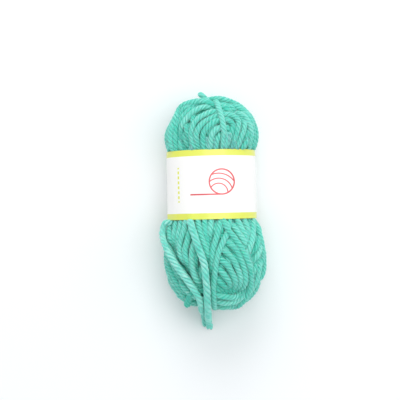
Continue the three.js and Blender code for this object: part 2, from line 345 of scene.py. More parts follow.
# The strands that show on the upper side, in the order in which they lie over each other. Those up to the
# crest lie beyond the band, away from the loose ends, and the others on the loose ends' side of it.
UPPER_SIDE = (
    Run("left_inner", ((-21, 42), (-20, 37), (-19.5, 31)), ((-17, 50), (-15, 43), (-12.5, 31)), count=3),
    Run("nest_1", ((1, 31), (2, 36), (4, 40), (7, 42.5), (10, 42), (9, 37), (5, 31))),
    Run("nest_2", ((-2, 31), (-2, 36), (0, 40.5), (4, 44.5), (9, 46), (12, 43), (10, 37), (7, 31))),
    Run(
        "nest_3",
        ((-6, 31), (-6, 37), (-5, 42), (-1, 46.5), (4, 49.5), (10, 50), (14, 47), (12, 40), (9, 31)),
    ),
    Run("right_inner", ((24, 31), (25.5, 36), (26, 41)), ((19, 31), (21, 37), (24, 44)), count=2),
    Run(
        "nest_4",
        ((-9, 31), (-10, 37), (-9, 42), (-6, 47), (-1, 50.5), (6, 53), (13, 52.5), (17, 48.5), (12, 31)),
    ),
    Run(
        "nest_5",
        (
            (-11.5, 31), (-12.6, 38), (-12, 44), (-9, 49.5), (-2, 54), (7, 56), (15, 55), (21, 50),
            (15.5, 31),
        ),
    ),
    Run(
        "shoulders",
        (
            (-22, 31), (-21, 42), (-17, 49), (-11, 55), (-4, 58.5), (3, 59.5), (11, 58.5), (18, 55),
            (23, 49), (25, 40), (23, 31),
        ),
        (
            (-27, 31), (-25, 42), (-21, 52), (-16, 59), (-8, 63.5), (3, 64.5), (11, 63), (19, 60), (25, 53),
            (29, 43), (29, 31),
        ),
        count=3, before=12, after=12, lift=0.3,
    ),
    Run(
        "under_shoulder",
        ((-22, 48), (-20, 53), (-18.2, 56.5), (-15.5, 58.6), (-12, 60), (-7, 61.3)),
        before=30, after=30, lift=0.7,
    ),
    Run(
        "left_shoulder",
        ((-22.6, 50), (-20.9, 54), (-19.4, 57.3), (-17.0, 59.6), (-13.5, 60.8), (-9, 61.6)),
        before=30, after=30, lift=1.4, size=1.2,
    ),
    Run(
        "crest",
        ((4.4, 60), (5.2, 56.5), (6.4, 51.5), (7.5, 45), (8.2, 39), (9, 31)),
        before=12, lift=0.6, size=0.9,
    ),
    Run("under_band_corner", ((-27.5, -9), (-29, -14), (-29.5, -20), (-29, -27), (-28, -34)), lift=0.8),
    Run(
        "left_steep",
        ((-27, -10), (-28, -17), (-27, -24), (-25, -31), (-21, -38), (-17, -46)),
        ((-17, -10), (-18, -16), (-21, -24), (-21, -31), (-18, -38), (-14, -47)),
        count=4, after=30,
    ),
    Run(
        "left_fan",
        ((-14, -12), (-16, -22), (-18, -30), (-16, -38), (-12, -48)),
        ((-10, -11), (-12, -22), (-14, -32), (-13, -42), (-9, -52)),
        count=2, after=30,
    ),
    Run(
        "middle_steep",
        ((3, -10), (1, -17), (-1, -24), (-2, -33), (-3, -42), (-4, -52)),
        ((-10, -10), (-8, -19), (-5, -28), (-3.5, -36), (-3, -44), (-3, -54)),
        count=4, after=ROUND_THE_END,
    ),
    Run(
        "left_edge",
        ((-28, -47), (-24, -53), (-20, -58), (-13, -62)),
        ((-30, -29), (-26, -39), (-20, -48), (-14, -56)),
        count=4, before=30, after=ROUND_THE_END, lift=-1.0,
    ),
    Run(
        "middle_lean",
        ((8, -10), (5, -17), (2, -24), (0, -31), (-1, -39)),
        ((5, -10), (3, -17), (1, -23), (-1, -30), (-1.5, -38)),
        count=2, after=20,
    ),
    Run(
        "right_edge_lean",
        ((30, -44), (27, -50), (24, -55)),
        ((30, -22), (26, -31), (22, -39)),
        count=5, before=60, after=8, lift=-0.8,
    ),
    Run(
        "right_steep",
        ((24, -10), (25, -18), (24, -26)),
        ((10, -10), (14, -17), (18, -23), (22, -32)),
        count=4, after=12,
    ),
    Run(
        "right_outline",
        ((27.5, -11), (29.5, -19), (31, -27), (31.5, -36), (29.5, -46)),
        after=60, lift=-0.6,
    ),
    Run(
        "fan",
        ((1, -46), (4, -49), (7, -52), (8, -56)),
        ((7, -23), (13, -28), (16.5, -35), (18.5, -42), (18.5, -50), (16, -58)),
        count=5, after=24,
    ),
    Run(
        "end_arcs",
        ((18, -56), (13, -58), (6, -57.5), (0, -56.5), (-5, -55)),
        ((24, -53), (20, -59), (14, -63.5), (6, -65), (-2, -64.5), (-10, -63)),
        count=3, before=26, after=26,
    ),
    Run(
        "over_lean",
        ((10.5, -11), (9, -18), (6, -23), (3, -29), (1, -36), (0, -43), (-1, -50), (-1, -57)),
        after=ROUND_THE_END, lift=0.3,
    ),
    Run("over_right", ((25.5, -10), (25, -18), (23, -25), (21, -31), (21, -37)), after=10, lift=0.3),
    Run(
        "over_back",
        ((6, -10), (8.5, -16), (13, -22), (18, -30), (21, -38), (22.5, -46), (22, -53), (19, -59)),
        after=40, lift=0.5,
    ),
    Run(
        "under_side_end",
        ((-30.9, -18), (-29.9, -24), (-28, -28.3), (-24.7, -34.4), (-20.2, -41), (-15.3, -47.7)),
        after=12,
    ),
    Run(
        "under_front_end",
        ((-13.6, -12), (-11.6, -18.8), (-9.2, -26.7), (-6.6, -34.6), (-5.5, -43), (-4.9, -51)),
        lift=0.4,
    ),
)


@dataclass(frozen=True)
class Fan:
    """Full turns laid side by side, each a great circle of the form, on a side that can't be seen from above.

    from_axis leans the turns away from the ball's length and facing turns them round it, both in degrees,
    from the first turn's to the last one's.
    """

    name: str
    facing: tuple[float, float]
    from_axis: tuple[float, float]
    count: int


FANS = (
    Fan("underside_lean", (62, 118), (22, 14), 7),
    Fan("left_side", (-38, 8), (12, 26), 6),
    Fan("right_side", (150, 192), (26, 16), 6),
    Fan("underside_cross", (88, 132), (-18, -26), 6),
    Fan("far_shoulders", (20, 50), (44, 38), 4),
    Fan("near_shoulders", (215, 245), (-40, -46), 4),
)


@dataclass
class Strand:
    """A length of yarn laid on the form: its directions, and how high its middle line lies over the form."""

    q: np.ndarray
    closed: bool
    radius: float
    lift: float  # of its crown over the form, where nothing crosses it
    dive: float = 0.0  # how far its two ends go in
    height: np.ndarray = field(default_factory=lambda: np.zeros(0))
    seen: np.ndarray = field(default_factory=lambda: np.zeros(0, bool))  # where it isn't buried by others


@dataclass
class Winding:
    """Plans the ball's yarn from the inside out, then presses each strand under those that cross it."""

    form: WoundForm
    yarn: Yarn
    base_layers: tuple[tuple[float, int], ...] = ((0.52, 26), (0.30, 22), (0.17, 10))  # lean, and full turns
    end_sheets: tuple[tuple[float, float, int], ...] = (
        (2.4, 0.25, 10),
        (0.8, 0.27, 11),
    )  # facing, greatest lean, and the turns that lie side by side across both ends
    squash: float = 0.64  # how much of two crossing strands' thickness is left where they press on each other
    nestle: float = 0.86  # strands further apart than this share of their thickness lie side by side
    base_lift: float = -1.2 * MM
    top_lift: float = 0.2 * MM
    deepest: float = 5.2 * MM  # below this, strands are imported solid
    buried: float = 7.1 * MM  # with room only below this, a strand can't be seen
    dive: float = 6.0 * MM
    dive_length: float = 9.0 * MM
    pressing: float = 0.3  # a strand's end presses on others until it has gone in by this share
    bend: float = 1 / (8 * MM)  # the sharpest that a strand comes up out of a hollow, as one over a radius
    wander: float = 0.9 * MM
    sway: float = 0.35 * MM
    sway_length: float = 34 * MM
    uneven: float = 0.05  # by which share strands are thicker or thinner
    coarser: float = 1.25  # how much longer the steps are in the winding beneath
    flattened: float = 0.9  # how high a strand's middle lies on the ground, against its radius
    seed: int = 11
    strands: list[Strand] = field(default_factory=list)
    random: np.random.Generator = field(init=False)

    def __post_init__(self) -> None:
        """Seeds the winding's small unevenness."""
        self.random = np.random.default_rng(self.seed)

    def wind(self) -> None:
        """Plans all the strands and presses them into each other, the outermost first."""
        self._base()
        for fan in FANS:
            self._fan(fan)
        for run in UPPER_SIDE:
            self._run(run)
        laid: list[Strand] = []
        for strand in reversed(self.strands):
            self._press(strand, laid)
            laid.append(strand)

    def _great_circle(self, facing: float, lean: float, lift: float, beneath: bool = False) -> None:
        """Adds a full turn.

        Args:
            facing: how far its plane is turned round the ball's length, in radians.
            lean: how far it leans away from the ball's length, in radians.
            lift: of its crown over the form.
            beneath: whether it belongs to the winding beneath.
        """
        level = math.cos(lean)
        pole = np.array([level * math.cos(facing), -math.sin(lean), level * math.sin(facing)])
        off_every_pole = (0.31, 0.17, 0.93)
        start = unit(np.cross(pole, off_every_pole))
        aside = np.cross(pole, start)
        angle = np.linspace(0, 2 * math.pi, 240, endpoint=False)[:, None]
        q = start * np.cos(angle) + aside * np.sin(angle)
        q = unit(q + pole * self._waver(angle) / self.form.half[0])
        step = self.yarn.step * (self.coarser if beneath else 1)
        line = evenly(np.hstack([self.form.surface(q), q]), step, closed=True)
        self.strands.append(Strand(unit(line[:, 3:]), True, self._radius(), lift))

    def _waver(self, angle: np.ndarray) -> np.ndarray:
        """Gives a slow sideways wander round a turn, the same at both ends."""
        phases = self.random.uniform(0, 2 * math.pi, 3)
        waves = sum(np.sin(angle * (k + 2) + phase) / (k + 1) for k, phase in enumerate(phases))
        greatest = 1.8
        return self.wander * waves / greatest

    def _radius(self) -> float:
        """Gives a strand's radius, which differs a little from one to the next."""
        return self.yarn.thickness / 2 * (1 + self.random.uniform(-self.uneven, self.uneven))

    def _base(self) -> None:
        """Plans the all-over winding beneath, whose plane turns round the ball a little with each turn."""
        for lean, turns in self.base_layers:
            for k in range(turns):
                facing = (k + self.random.uniform(-0.3, 0.3)) / turns * 2 * math.pi
                own_lean = lean + 0.05 * math.cos(2 * facing + 4 * lean)
                height = self.base_lift + self.random.uniform(-0.6, 0.5) * MM
                self._great_circle(facing, own_lean, height, True)
        for facing, greatest, turns in self.end_sheets:
            for lean in np.linspace(-greatest, greatest, turns):
                height = self.base_lift + self.random.uniform(-0.5, 0.5) * MM
                self._great_circle(facing + self.random.uniform(-0.05, 0.05), float(lean), height, True)

    def _fan(self, fan: Fan) -> None:
        """Plans a fan of full turns.

        Args:
            fan: which.
        """
        for k in range(fan.count):
            share = k / max(fan.count - 1, 1)
            facing = math.radians(fan.facing[0] + (fan.facing[1] - fan.facing[0]) * share)
            lean = math.radians(fan.from_axis[0] + (fan.from_axis[1] - fan.from_axis[0]) * share)
            self._great_circle(facing, lean, self.random.uniform(-0.5, 0.4) * MM)
        log.debug("%s: %d turns", fan.name, fan.count)

    def _run(self, run: Run) -> None:
        """Plans a run of strands on the upper side.

        Args:
            run: which.
        """
        for route in run.routes():
            q = np.array([self.form.from_above(x * MM, y * MM) for x, y in route])
            q = self._go_on(q[::-1], run.before * MM)[::-1]
            q = self._go_on(q, run.after * MM)
            line = evenly(np.hstack([self.form.surface(q), q]), self.yarn.step)
            lift = self.top_lift + run.lift * MM + self.random.uniform(-0.3, 0.3) * MM
            radius = self._radius() * run.size
            self.strands.append(Strand(unit(line[:, 3:]), False, radius, lift, self.dive))
        log.debug("%s: %d strands", run.name, run.count)

    def _go_on(self, q: np.ndarray, length: float) -> np.ndarray:
        """Carries a route on beyond its last point along a great circle.

        Args:
            q: the route's directions.
            length: how far it goes on.

        Returns:
            The longer route.
        """
        end = q[-1]
        ahead = unit(end - q[-4])
        ahead = unit(ahead - end * (ahead @ end))
        farthest, steps = 2.6, 160
        angle = np.linspace(0, farthest, steps)[1:, None]
        more = end * np.cos(angle) + ahead * np.sin(angle)
        walked = distances(self.form.surface(np.vstack([end, more])))[1:]
        return np.vstack([q, more[walked <= length]])

    def _press(self, strand: Strand, above: list[Strand]) -> None:
        """Finds how deep a strand is pressed by those that cross over it.

        Args:
            strand: which.
            above: those laid after it, whose heights are known.
        """
        places = self.form.surface(strand.q)
        room = np.full(len(places), strand.lift - strand.radius) + self._sway(len(places))
        if strand.dive:
            room -= strand.dive * self._end_share(len(places))
        if above:
            held = np.concatenate([self._holds(s) for s in above])
            points = np.vstack([self.form.surface(s.q) for s in above])[held]
            heights = np.concatenate([s.height for s in above])[held].tolist()
            radii = np.concatenate([np.full(len(s.q), s.radius) for s in above])[held].tolist()
            tree = kdtree.KDTree(len(points))
            for index, point in enumerate(points.tolist()):
                tree.insert(point, index)
            tree.balance()
            thicker = 1.06
            farthest = 2 * self.nestle * strand.radius * thicker
            for i, place in enumerate(places.tolist()):
                for _, index, distance in tree.find_range(place, farthest):
                    both = strand.radius + radii[index]
                    share = distance / (self.nestle * both)
                    if share < 1:
                        under = heights[index] - self.squash * both * math.sqrt(1 - share * share)
                        room[i] = min(room[i], under)
        strand.seen = room > -self.buried
        strand.height = self._draw_in(np.maximum(room, -self.deepest), strand.closed)

    def _holds(self, strand: Strand) -> np.ndarray:
        """Tells where a strand presses on others: everywhere but at the ends where it dives between them."""
        if not strand.dive:
            return np.full(len(strand.q), True)
        return self._end_share(len(strand.q)) < self.pressing

    def _sway(self, count: int) -> np.ndarray:
        """Gives a strand's own slow rise and fall."""
        waves = max(1, round(count * self.yarn.step / self.sway_length))
        angle = np.arange(count) / count * 2 * math.pi * waves + self.random.uniform(0, 2 * math.pi)
        return self.sway * np.sin(angle)

    def _draw_in(self, room: np.ndarray, closed: bool) -> np.ndarray:
        """Eases a strand down into the hollows where others press it.

        Args:
            room: the greatest height at each of its points.
            closed: whether it is a full turn.

        Returns:
            The heights, never more than the room.
        """
        ease = self.bend * self.yarn.step**2 / 2
        height = room.copy()
        passes = 120
        for _ in range(passes):
            before = np.roll(height, 1)
            behind = np.roll(height, -1)
            if not closed:
                before[0], behind[-1] = height[0], height[-1]
            height = np.minimum(room, (before + behind) / 2 + ease)
        return height

    def _end_share(self, count: int) -> np.ndarray:
        """Gives 1 at a strand's two ends, easing to 0 over the length in which it dives."""
        along = np.arange(count) * self.yarn.step
        nearest = np.minimum(along, along[::-1])
        return 1 - smoothstep(nearest / self.dive_length)

    def line(self, strand: Strand, band: "Band") -> np.ndarray:
        """Gives a strand's middle line in space, held in by the band and kept off the ground.

        Args:
            strand: which.
            band: the paper band that holds it.

        Returns:
            Its points, one a row.
        """
        points = self.form.surface(strand.q) + strand.height[:, None] * self.form.outward(strand.q)
        points = band.hold(points, strand.radius * self.yarn.fullness)
        points[:, 2] = np.maximum(points[:, 2], self.flattened * strand.radius)
        return points


def tube_faces(rings: int, around: int) -> np.ndarray:
    """Joins rings of points to a tube.

    Args:
        rings: how many rings of points follow each other.
        around: points in each.

    Returns:
        The four-sided faces, as indices into the points.
    """
    here = np.arange(rings - 1)[:, None] * around
    there = here + around
    k = np.arange(around)
    turned = (k + 1) % around
    return np.stack([here + k, here + turned, there + turned, there + k], axis=-1).reshape(-1, 4)


def sweep(
    line: np.ndarray, upward: np.ndarray, ring: np.ndarray, twist: np.ndarray, widths: np.ndarray
) -> tuple[np.ndarray, np.ndarray, np.ndarray]:
    """Sweeps a ring of points along a line, turning it as it goes, and closes both ends.

    Args:
        line: the middle line's points.
        upward: a direction at each of them that the ring's first point faces before it turns.
        ring: the ring's points as angle and radius, an even number of them.
        twist: how far the ring has turned at each point, in radians.
        widths: a factor on the ring's radius at each point.

    Returns:
        The vertices, of which the last two are the ends' middles, the faces, and the faces' UV places, with
        centimetres along the line as U.
    """
    count, around = len(line), len(ring)
    tangent = unit(np.gradient(line, axis=0))
    across = unit(np.cross(tangent, upward))
    up = np.cross(across, tangent)
    angle = twist[:, None] + ring[None, :, 0]
    radius = widths[:, None] * ring[None, :, 1]
    rings = (
        line[:, None]
        + (radius * np.cos(angle))[..., None] * up[:, None]
        + (radius * np.sin(angle))[..., None] * across[:, None]
    )
    along = distances(line) / (10 * MM)
    k = np.arange(around)
    u = np.stack([along[:-1], along[:-1], along[1:], along[1:]], axis=-1)[:, None]
    v = np.stack([k, k + 1, k + 1, k], axis=-1)[None] / around
    quads = [tube_faces(count, around)]
    uvs = [np.stack(np.broadcast_arrays(u, v), axis=-1).reshape(-1, 2)]
    even = k[::2]
    for end, middle, order in ((0, count * around, 1), (count - 1, count * around + 1, -1)):
        rim = end * around
        fan = [np.full(len(even), middle), rim + (even + 2) % around, rim + even + 1, rim + even]
        quads.append(np.stack(fan, axis=-1)[:, ::order])
        uvs.append(np.tile([along[end], 0.5], (2 * around, 1)))
    return np.vstack([rings.reshape(-1, 3), line[[0, -1]]]), np.vstack(quads), np.vstack(uvs)


def yarn_object(name: str, vertices: np.ndarray, faces: list, finish: bpy.types.Material) -> bpy.types.Object:
    """Makes a piece of yarn, on the ball's body.

    Args:
        name: its name.
        vertices: its points.
        faces: its faces, as indices into them.
        finish: the yarn's material.

    Returns:
        The object, with a UV map and a tone attribute, which are still 0 throughout.
    """
    mesh = bpy.data.meshes.new(name)
    mesh.from_pydata(vertices.tolist(), [], faces)
    mesh.uv_layers.new(name="along_and_round")
    mesh.attributes.new("tone", "FLOAT", "POINT")
    mesh.materials.append(finish)
    made = bpy.data.objects.new(name, mesh)
    bpy.context.collection.objects.link(made)
    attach(made, "root")
    return made


def dress(made: bpy.types.Object, uvs: np.ndarray, tones: np.ndarray) -> None:
    """Smooths a piece of yarn and tells its material how the fibres lie and how light they are.

    Args:
        made: the piece.
        uvs: a UV place for each face corner.
        tones: a tone for each vertex.
    """
    mesh = made.data
    mesh.uv_layers["along_and_round"].data.foreach_set("uv", uvs.ravel())
    mesh.attributes["tone"].data.foreach_set("value", tones)
    mesh.polygons.foreach_set("use_smooth", [True] * len(mesh.polygons))
    mesh.update()


@dataclass
class MeshParts:
    """Vertices, faces, UV places and tones gathered for one mesh object."""

    vertices: list[np.ndarray] = field(default_factory=list)
    quads: list[np.ndarray] = field(default_factory=list)
    uvs: list[np.ndarray] = field(default_factory=list)
    tones: list[np.ndarray] = field(default_factory=list)
    count: int = 0
    off_the_ground: float = 0.05 * MM

    def add(
        self, vertices: np.ndarray, quads: np.ndarray, uvs: np.ndarray, tones: np.ndarray | float
    ) -> None:
        """Adds a body.

        Args:
            vertices: its points.
            quads: its four-sided faces, as indices into them.
            uvs: a UV place for each face corner.
            tones: how much lighter than usual it is, about 0, throughout or at each vertex.
        """
        vertices[:, 2] = np.maximum(vertices[:, 2], self.off_the_ground)
        self.vertices.append(vertices)
        self.quads.append(quads + self.count)
        self.uvs.append(uvs)
        self.tones.append(np.broadcast_to(tones, len(vertices)))
        self.count += len(vertices)

    def triangles(self) -> int:
        """Counts the triangles that the faces come to."""
        return 2 * sum(len(quads) for quads in self.quads)

    def build(self, name: str, finish: bpy.types.Material) -> bpy.types.Object:
        """Makes the mesh object.

        Args:
            name: its name.
            finish: the yarn's material.

        Returns:
            The object.
        """
        made = yarn_object(name, np.vstack(self.vertices), np.vstack(self.quads).tolist(), finish)
        dress(made, np.vstack(self.uvs), np.concatenate(self.tones))
        return made


@dataclass
class Band:
    """The paper band round the ball's waist: a closed ring of glossy paper that waves over the turns."""

    node: str = "paper_band"
    paper: float = 0.3 * MM
    squareness: float = 2.2
    around: int = 192
    rows: int = 14
    stripe: float = 3.7 * MM
    start_angle: float = -math.pi / 2 + 0.25  # where its ring of points begins, underneath
    curl: float = 0.3 * MM  # how far its far edge draws in on the yarn, and its near edge half as far
    curl_depth: float = 2 * MM  # how fast the paper comes back out, away from an edge
    clearance: float = 0.2 * MM
    swell: float = 1.15  # how steeply the yarn comes out beyond an edge
    gripped: float = 5 * MM  # how far beyond an edge the yarn is still drawn in
    rises: tuple[tuple[float, float], ...] = ((2.06, 0.9), (2.86, 0.7))  # each loose end's angle, and mm
    rise_width: float = 0.13  # in radians
    rise_length: float = 7.0  # in mm
    broad_waves: tuple[float, int, float] = (0.10, 5, 0.9)  # height in mm, number round, and phase
    fine_waves: tuple[float, int, float] = (0.07, 9, 9.0)  # height in mm, number round, and mm for a radian
    edge_waves: tuple[float, int, float] = (0.18, 4, 2.0)  # height in mm, number round, and phase
    edge_depth: float = 2.5  # in mm, how far the far edge's waves reach in
    low: np.ndarray = field(init=False)
    high: np.ndarray = field(init=False)

    def __post_init__(self) -> None:
        """Reads the band's size and place off its CAD node."""
        self.low, self.high = (np.array(corner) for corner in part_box(self.node))

    @property
    def middle(self) -> np.ndarray:
        """The middle of the band."""
        return (self.low + self.high) / 2

    @property
    def half(self) -> np.ndarray:
        """Half the band's size each way, to the outside of the paper."""
        return (self.high - self.low) / 2

    def oval(self, angle: np.ndarray, inset: float) -> np.ndarray:
        """Gives points of the band's oval section.

        Args:
            angle: their angles round the ball, from +X towards +Z.
            inset: how far inside the paper's outer face they lie.

        Returns:
            Their X and Z.
        """
        power = self.squareness
        reach = (np.abs(np.cos(angle)) ** power + np.abs(np.sin(angle)) ** power) ** (-1 / power)
        x = self.middle[0] + (self.half[0] - inset) * reach * np.cos(angle)
        z = self.middle[2] + (self.half[2] - inset) * reach * np.sin(angle)
        return np.stack([x, z], axis=-1)

    def drawn_in(self, y: np.ndarray | float) -> np.ndarray | float:
        """Gives how far the paper is drawn in towards its edges, at places along the ball."""
        far = np.exp(-np.abs(y - self.high[1]) / self.curl_depth)
        near = np.exp(-np.abs(y - self.low[1]) / self.curl_depth)
        return self.curl * (far + 0.5 * near)

    def hold(self, points: np.ndarray, radius: float) -> np.ndarray:
        """Draws points in that would stand out of the band, easing off beyond its edges.

        Args:
            points: a strand's middle line.
            radius: the strand's radius.

        Returns:
            The points where the band lets them lie.
        """
        y = points[:, 1]
        beyond = np.maximum(np.maximum(self.low[1] - y, y - self.high[1]), 0)
        set_free = 40 * np.maximum(beyond - self.gripped, 0)
        slack = self.swell * beyond + set_free
        room = self.paper + radius + self.clearance + self.drawn_in(y) - slack
        sizes = np.stack([self.half[0] - room, self.half[2] - room], axis=-1)
        offset = points[:, [0, 2]] - self.middle[[0, 2]]
        power = self.squareness
        share = (np.abs(offset / sizes) ** power).sum(axis=1) ** (1 / power)
        held = points.copy()
        held[:, [0, 2]] = self.middle[[0, 2]] + offset / np.maximum(share, 1)[:, None]
        return held

    def build(self) -> bpy.types.Object:
        """Models the band: a ring drawn out along the ball, given its thickness and finish.

        Returns:
            The band.
        """
        deselect()
        bpy.ops.mesh.primitive_circle_add(vertices=self.around, radius=1)
        made = bpy.context.object
        made.name = "band_paper"
        made.data.name = "band_paper"
        angles = np.arange(self.around) / self.around * 2 * math.pi + self.start_angle
        for vertex, (x, z) in zip(made.data.vertices, self.oval(angles, self.paper)):
            vertex.co = (x, self.low[1], z)
        bpy.ops.object.mode_set(mode="EDIT")
        bpy.ops.mesh.select_all(action="SELECT")
        height = (self.high[1] - self.low[1]) / self.rows
        for _ in range(self.rows):
            bpy.ops.mesh.extrude_region_move(TRANSFORM_OT_translate={"value": (0, height, 0)})
        bpy.ops.mesh.select_all(action="SELECT")
        bpy.ops.mesh.normals_make_consistent(inside=False)
        bpy.ops.object.mode_set(mode="OBJECT")
        self._flex(made)
        thicken = made.modifiers.new("paper", "SOLIDIFY")
        thicken.thickness = self.paper
        thicken.offset = 1
        bpy.ops.object.modifier_apply(modifier=thicken.name)
        bpy.ops.object.shade_smooth_by_angle(angle=math.radians(40))
        made.data.materials.clear()
        made.data.materials.append(GlossyPaper(self).material())
        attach(made, "root")
        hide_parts(self.node)
        return made

    def _flex(self, made: bpy.types.Object) -> None:
        """Gives the paper slight waves and lets it rise over the loose ends that come out from under it.

        Args:
            made: the band's mesh object.
        """
        broad, broad_count, broad_phase = self.broad_waves
        fine, fine_count, fine_slant = self.fine_waves
        edge, edge_count, edge_phase = self.edge_waves
        for vertex in made.data.vertices:
            x, y, z = vertex.co
            angle = math.atan2((z - self.middle[2]) / self.half[2], (x - self.middle[0]) / self.half[0])
            outward = Vector((math.cos(angle), 0, math.sin(angle)))
            from_low = (y - self.low[1]) / MM
            from_high = (self.high[1] - y) / MM
            rise = broad * math.sin(broad_count * angle + broad_phase)
            rise += fine * math.sin(fine_count * angle + y / (fine_slant * MM))
            for centre, height in self.rises:
                away = (angle - centre + math.pi) % (2 * math.pi) - math.pi
                aside = math.exp(-((away / self.rise_width) ** 2))
                rise += height * aside * math.exp(-((from_low / self.rise_length) ** 2))
            wave = math.sin(edge_count * angle + edge_phase)
            rise += edge * math.exp(-from_high / self.edge_depth) * wave
            vertex.co += outward * (rise * MM - float(self.drawn_in(y)))


def deselect() -> None:
    """Leaves nothing selected, so that an operator acts on the new piece alone."""
    for each in bpy.context.view_layer.objects:
        each.select_set(False)


class MaterialMaker:
    """Builds one node material."""

    def __init__(self, name: str) -> None:
        """Starts the material with its output and one principled shader.

        Args:
            name: what the real material is.
        """
        self.material = bpy.data.materials.new(name)
        self.material.use_nodes = True
        self.tree = self.material.node_tree
        self.tree.nodes.clear()
        self.shader = self.node("ShaderNodeBsdfPrincipled")
        self.node("ShaderNodeOutputMaterial", in_Surface=self.shader.outputs["BSDF"])

    def node(self, kind: str, **settings: object) -> bpy.types.Node:
        """Adds a node with its settings and links.

        Args:
            kind: the node's type.
            settings: a property, or an input by its name or index after "in_". A value that is a socket is
                linked.

        Returns:
            The node.
        """
        made = self.tree.nodes.new(kind)
        for key, value in settings.items():
            if not key.startswith("in_"):
                setattr(made, key, value)
                continue
            slot = key[3:]
            socket = made.inputs[int(slot)] if slot.isdigit() else made.inputs[slot.replace("_", " ")]
            if isinstance(value, bpy.types.NodeSocket):
                self.tree.links.new(value, socket)
            else:
                socket.default_value = value
        return made

    def feed(self, name: str, socket: bpy.types.NodeSocket) -> None:
        """Links a socket into the shader's input of that name."""
        self.tree.links.new(socket, self.shader.inputs[name])

    def fix(self, **values: object) -> None:
        """Sets the shader's own inputs that are the same all over, with underscores for spaces in names."""
        for name, value in values.items():
            self.shader.inputs[name.replace("_", " ")].default_value = value


@dataclass(frozen=True)
class AcrylicYarn:
    """Brushed and plied acrylic staple: matt, a little translucent, with a pale bloom at its edges."""

    yarn: Yarn
    deep: tuple[float, str] = (0.16, "46c3ae")  # this and the next two: a tone, and its colour
    body: tuple[float, str] = (0.4, "7dd8c9")
    light: tuple[float, str] = (0.72, "c6ebe3")
    streaking: float = 0.8  # how much of a tone the fibre streaks make
    painted_shade_between_plies: str = "bfe0d9"  # painted shade: what is left of the light that gets down between two plies, multiplied into the colour there
    bloom: str = "d2f3ea"
    hollow_shade: float = 0.27  # how far the painted shade of a hollow between plies reaches, in plies
    streak: float = 0.25 * MM  # across a wisp of fibres, drawn coarse so that it shows
    depth: tuple[float, float, float] = (0.5 * MM, 1.3 * MM, 1.1 * MM)  # how far red, green and blue get in

    def material(self) -> bpy.types.Material:
        """Builds the material: fibre streaks along the plies, painted shade in the hollows between plies, and
        a tone for each strand, which also carries the painted shade of strands that lie deep.
        """
        m = MaterialMaker("plied_acrylic")
        uv = m.node("ShaderNodeUVMap", uv_map="along_and_round")
        wisps = math.pi * self.yarn.thickness / self.streak
        stretched = m.node("ShaderNodeMapping", in_Vector=uv.outputs["UV"], in_Scale=(2.2, wisps / 3, 1))
        streaks = m.node("ShaderNodeTexNoise", in_Vector=stretched.outputs[0], in_Scale=1.0, in_Detail=3.0)
        tone = m.node("ShaderNodeAttribute", attribute_name="tone")
        mixed = m.node(
            "ShaderNodeMath",
            operation="MULTIPLY_ADD",
            in_0=streaks.outputs[0],
            in_1=self.streaking,
            in_2=tone.outputs["Fac"],
        )
        ramp = m.node("ShaderNodeValToRGB", in_Fac=mixed.outputs[0])
        stops = ramp.color_ramp.elements
        for stop, (position, code) in zip(stops, (self.deep, self.light)):
            stop.position = position
            stop.color = srgb(code)
        stops.new(self.body[0]).color = srgb(self.body[1])
        around = m.node("ShaderNodeSeparateXYZ", in_Vector=uv.outputs["UV"])
        plies = m.node(
            "ShaderNodeMath", operation="MULTIPLY", in_0=around.outputs["Y"], in_1=float(self.yarn.plies)
        )
        crown = m.node("ShaderNodeMath", operation="PINGPONG", in_0=plies.outputs[0], in_1=0.5)
        hollow_shade = m.node(
            "ShaderNodeMapRange", in_Value=crown.outputs[0], in_1=0.0, in_2=self.hollow_shade, in_3=1.0, in_4=0.0
        )
        # painted shade: in the hollows between plies the colour is multiplied by a darker teal, as if less
        # light got in
        shaded = m.node(
            "ShaderNodeMix",
            data_type="RGBA",
            blend_type="MULTIPLY",
            in_0=hollow_shade.outputs[0],
            in_6=ramp.outputs["Color"],
            in_7=srgb(self.painted_shade_between_plies),
        )
        m.feed("Base Color", shaded.outputs[2])
        relief = 0.12 * MM
        fibre = m.node("ShaderNodeBump", in_Strength=0.35, in_Distance=relief, in_Height=streaks.outputs[0])
        m.feed("Normal", fibre.outputs[0])
        m.fix(Roughness=0.92, Specular_IOR_Level=0.12)
        m.fix(Sheen_Weight=0.5, Sheen_Roughness=0.45, Sheen_Tint=srgb(self.bloom))
        m.fix(Subsurface_Weight=0.7, Subsurface_Radius=self.depth, Subsurface_Scale=1.0)
        return m.material


